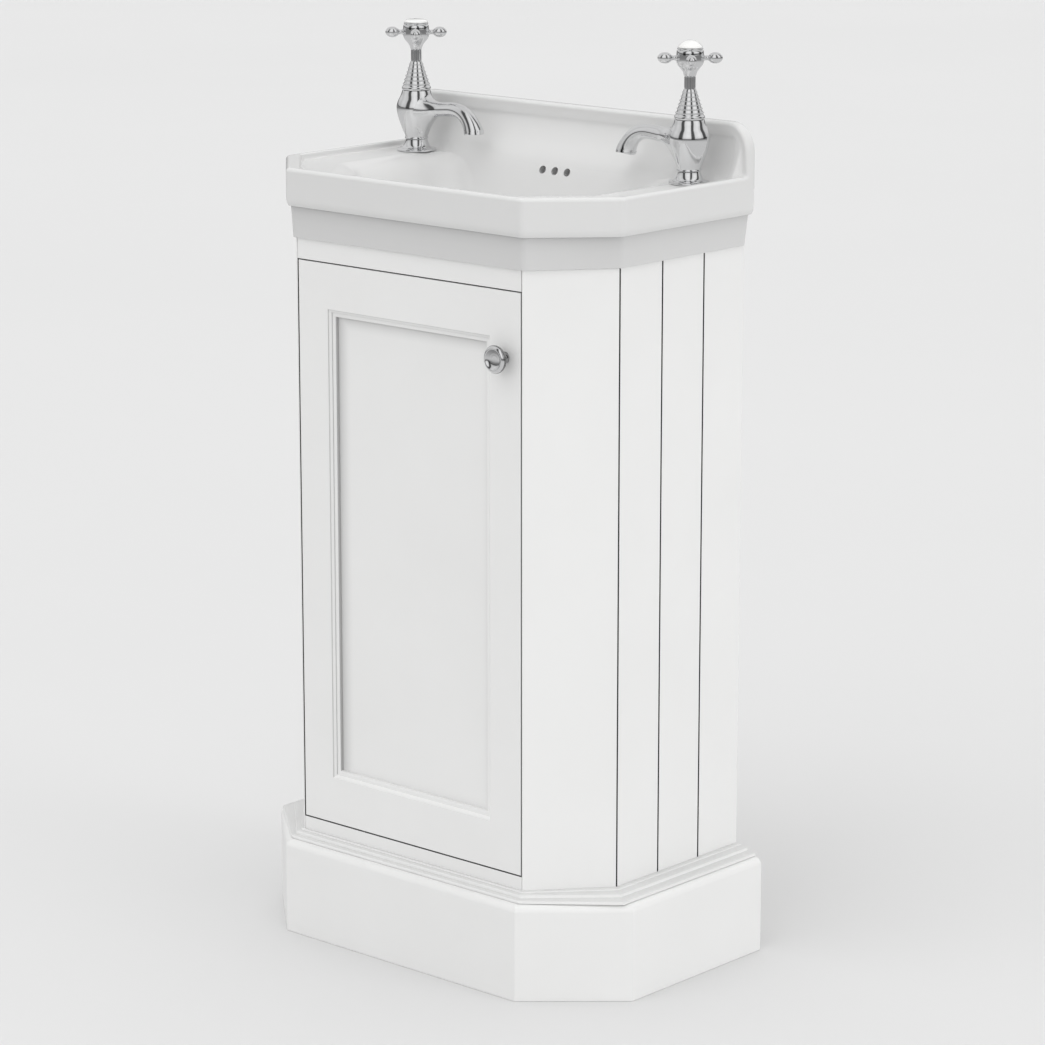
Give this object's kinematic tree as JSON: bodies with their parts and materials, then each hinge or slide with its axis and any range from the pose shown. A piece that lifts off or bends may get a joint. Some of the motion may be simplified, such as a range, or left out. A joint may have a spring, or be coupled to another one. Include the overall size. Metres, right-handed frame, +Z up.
{
  "type": "cloakroom vanity unit",
  "caption": "Floor-standing vanity unit with cut front corners: panelled cupboard door on pivots, moulded plinth, ceramic basin with raised back, and pillar taps with cross handles.",
  "frame": {"origin": "on the floor, under the middle of the unit's overall box", "axes": "+X to the right seen from the front, -Y out of the front, +Z up; the back plane that meets the wall is at the +Y limit"},
  "size_m": [0.555, 0.317, 1.0512],
  "materials": {
    "painted_board": "satin white paint on board",
    "inner_board": "matt white-faced board",
    "ceramic": "white glaze",
    "index_china": "white china, plain",
    "chrome": "polished chrome plate",
    "brass": "machined brass",
    "steel": "zinc-plated steel",
    "rubber": "matt black rubber",
    "catch_plastic": "matt white moulding"
  },
  "bodies": {
    "unit": {"basin": "ceramic", "bottom_rail": "painted_board", "cabinet_floor": "inner_board", "catch_body": "catch_plastic", "corner_post_left": "painted_board", "corner_post_right": "painted_board", "fascia_rail": "painted_board", "moulding_front": "painted_board", "moulding_left_chamfer": "painted_board", "moulding_left_side": "painted_board", "moulding_right_chamfer": "painted_board", "moulding_right_side": "painted_board", "pivot_pin_bottom": "steel", "pivot_pin_top": "steel", "plinth_batten_front": "inner_board", "plinth_batten_left": "inner_board", "plinth_batten_right": "inner_board", "rear_rail_bottom": "inner_board", "rear_rail_top": "inner_board", "shelf": "inner_board", "shelf_cleat_left": "inner_board", "shelf_cleat_right": "inner_board", "side_panel_left": "painted_board", "side_panel_right": "painted_board", "skirting_front": "painted_board", "skirting_left_chamfer": "painted_board", "skirting_left_side": "painted_board", "skirting_right_chamfer": "painted_board", "skirting_right_side": "painted_board", "tap_left_body": "chrome", "tap_left_nut": "brass", "tap_left_shroud": "chrome", "tap_right_body": "chrome", "tap_right_nut": "brass", "tap_right_shroud": "chrome", "waste_body": "chrome", "waste_nut": "brass", "waste_seal": "rubber"},
    "door": {"catch_strike": "steel", "door_bead_bottom": "painted_board", "door_bead_left": "painted_board", "door_bead_right": "painted_board", "door_bead_top": "painted_board", "door_panel": "painted_board", "door_rail_bottom": "painted_board", "door_rail_top": "painted_board", "door_stile_hinge": "painted_board", "door_stile_knob": "painted_board", "knob": "chrome", "knob_screw": "steel", "pivot_bush_bottom": "brass", "pivot_bush_top": "brass"},
    "tap_left_valve": {"tap_left_spindle": "chrome", "tap_left_handle": "chrome", "tap_left_index": "index_china"},
    "tap_right_valve": {"tap_right_spindle": "chrome", "tap_right_handle": "chrome", "tap_right_index": "index_china"},
    "plug": {"waste_plug": "chrome"}
  },
  "joints": [
    {"name": "door_swing", "type": "hinge", "parent": "unit", "child": "door", "pos_m": [-0.16075, -0.131, 0.1393], "axis": [0, 0, -1], "range_deg": [0, 105]},
    {"name": "tap_left_turn", "type": "hinge", "parent": "unit", "child": "tap_left_valve", "pos_m": [-0.207, 0.1005, 0.893], "axis": [0, 0, 1], "range_deg": [0, 90]},
    {"name": "tap_right_turn", "type": "hinge", "parent": "unit", "child": "tap_right_valve", "pos_m": [0.207, 0.1005, 0.893], "axis": [0, 0, 1], "range_deg": [0, 90]},
    {"name": "plug_lift", "type": "slide", "parent": "unit", "child": "plug", "axis": [0, 0, 1], "range_m": [0, 0.008]}
  ]
}
